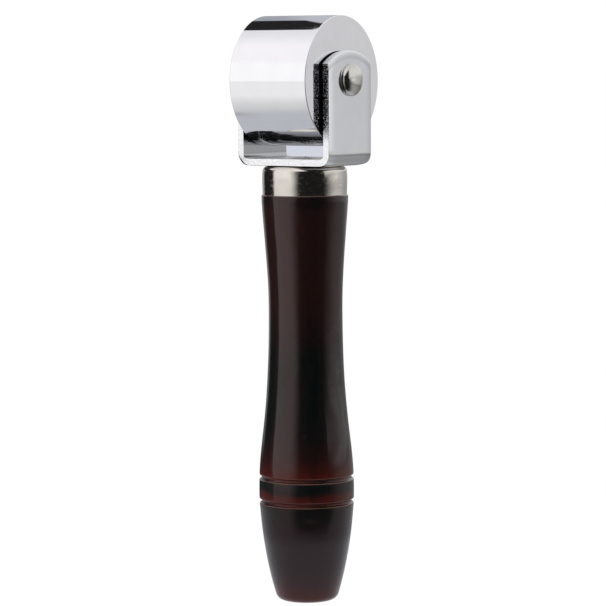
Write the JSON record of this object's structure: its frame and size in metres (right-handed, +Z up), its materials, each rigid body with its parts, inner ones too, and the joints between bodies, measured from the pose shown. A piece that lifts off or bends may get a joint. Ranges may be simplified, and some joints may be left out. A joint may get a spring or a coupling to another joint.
{
  "type": "hand press roller",
  "caption": "Hand roller for pressing seams: a polished steel roller on ball bearings in a riveted steel fork, on a turned wooden handle with a metal ferrule.",
  "frame": {"origin": "centre of the flat on the butt of the handle, which the tool stands on", "axes": "+Z up the handle to the roller, +X along the roller's axle, +Y across it"},
  "size_m": [0.034, 0.0344, 0.1556],
  "materials": {
    "lacquered_wood": "gloss lacquer over a dark stain",
    "nickel_sheet": "bright nickel plate",
    "plated_strap": "bright plate, sheared edges rough",
    "screw_steel": "plated, slightly dull",
    "rivet_steel": "closed cold, lightly scuffed",
    "plain_steel": "turned",
    "washer_steel": "flat, plated",
    "roller_chrome": "mirror polish",
    "bearing_steel": "ground",
    "cage_brass": "drilled ring",
    "ball_steel": "lapped",
    "shield_steel": "pressed sheet"
  },
  "bodies": {
    "handle_and_fork": {"handle": "lacquered_wood", "ferrule": "nickel_sheet", "fork": "plated_strap", "fork_screw": "screw_steel", "axle_rivet": "rivet_steel", "bearing_spacer": "plain_steel", "left_side_washer": "washer_steel", "right_side_washer": "washer_steel", "left_bearing_inner_ring": "bearing_steel", "right_bearing_inner_ring": "bearing_steel"},
    "roller": {"roller": "roller_chrome", "left_bearing_outer_ring": "bearing_steel", "left_bearing_outer_shield": "shield_steel", "left_bearing_inner_shield": "shield_steel", "right_bearing_outer_ring": "bearing_steel", "right_bearing_outer_shield": "shield_steel", "right_bearing_inner_shield": "shield_steel"},
    "left_ball_set": {"left_bearing_cage": "cage_brass", "left_bearing_balls": "ball_steel"},
    "right_ball_set": {"right_bearing_cage": "cage_brass", "right_bearing_balls": "ball_steel"}
  },
  "joints": [
    {"name": "roller_spin", "type": "hinge", "parent": "handle_and_fork", "child": "roller", "pos_m": [0, 0, 0.1384], "axis": [1, 0, 0], "continuous": true},
    {"name": "left_ball_set_spin", "type": "hinge", "parent": "handle_and_fork", "child": "left_ball_set", "pos_m": [0, 0, 0.1384], "axis": [1, 0, 0], "continuous": true},
    {"name": "right_ball_set_spin", "type": "hinge", "parent": "handle_and_fork", "child": "right_ball_set", "pos_m": [0, 0, 0.1384], "axis": [1, 0, 0], "continuous": true}
  ],
  "couplings": [
    {"joint": "left_ball_set_spin", "follows": "roller_spin", "ratio": 0.6263},
    {"joint": "right_ball_set_spin", "follows": "roller_spin", "ratio": 0.6263}
  ]
}
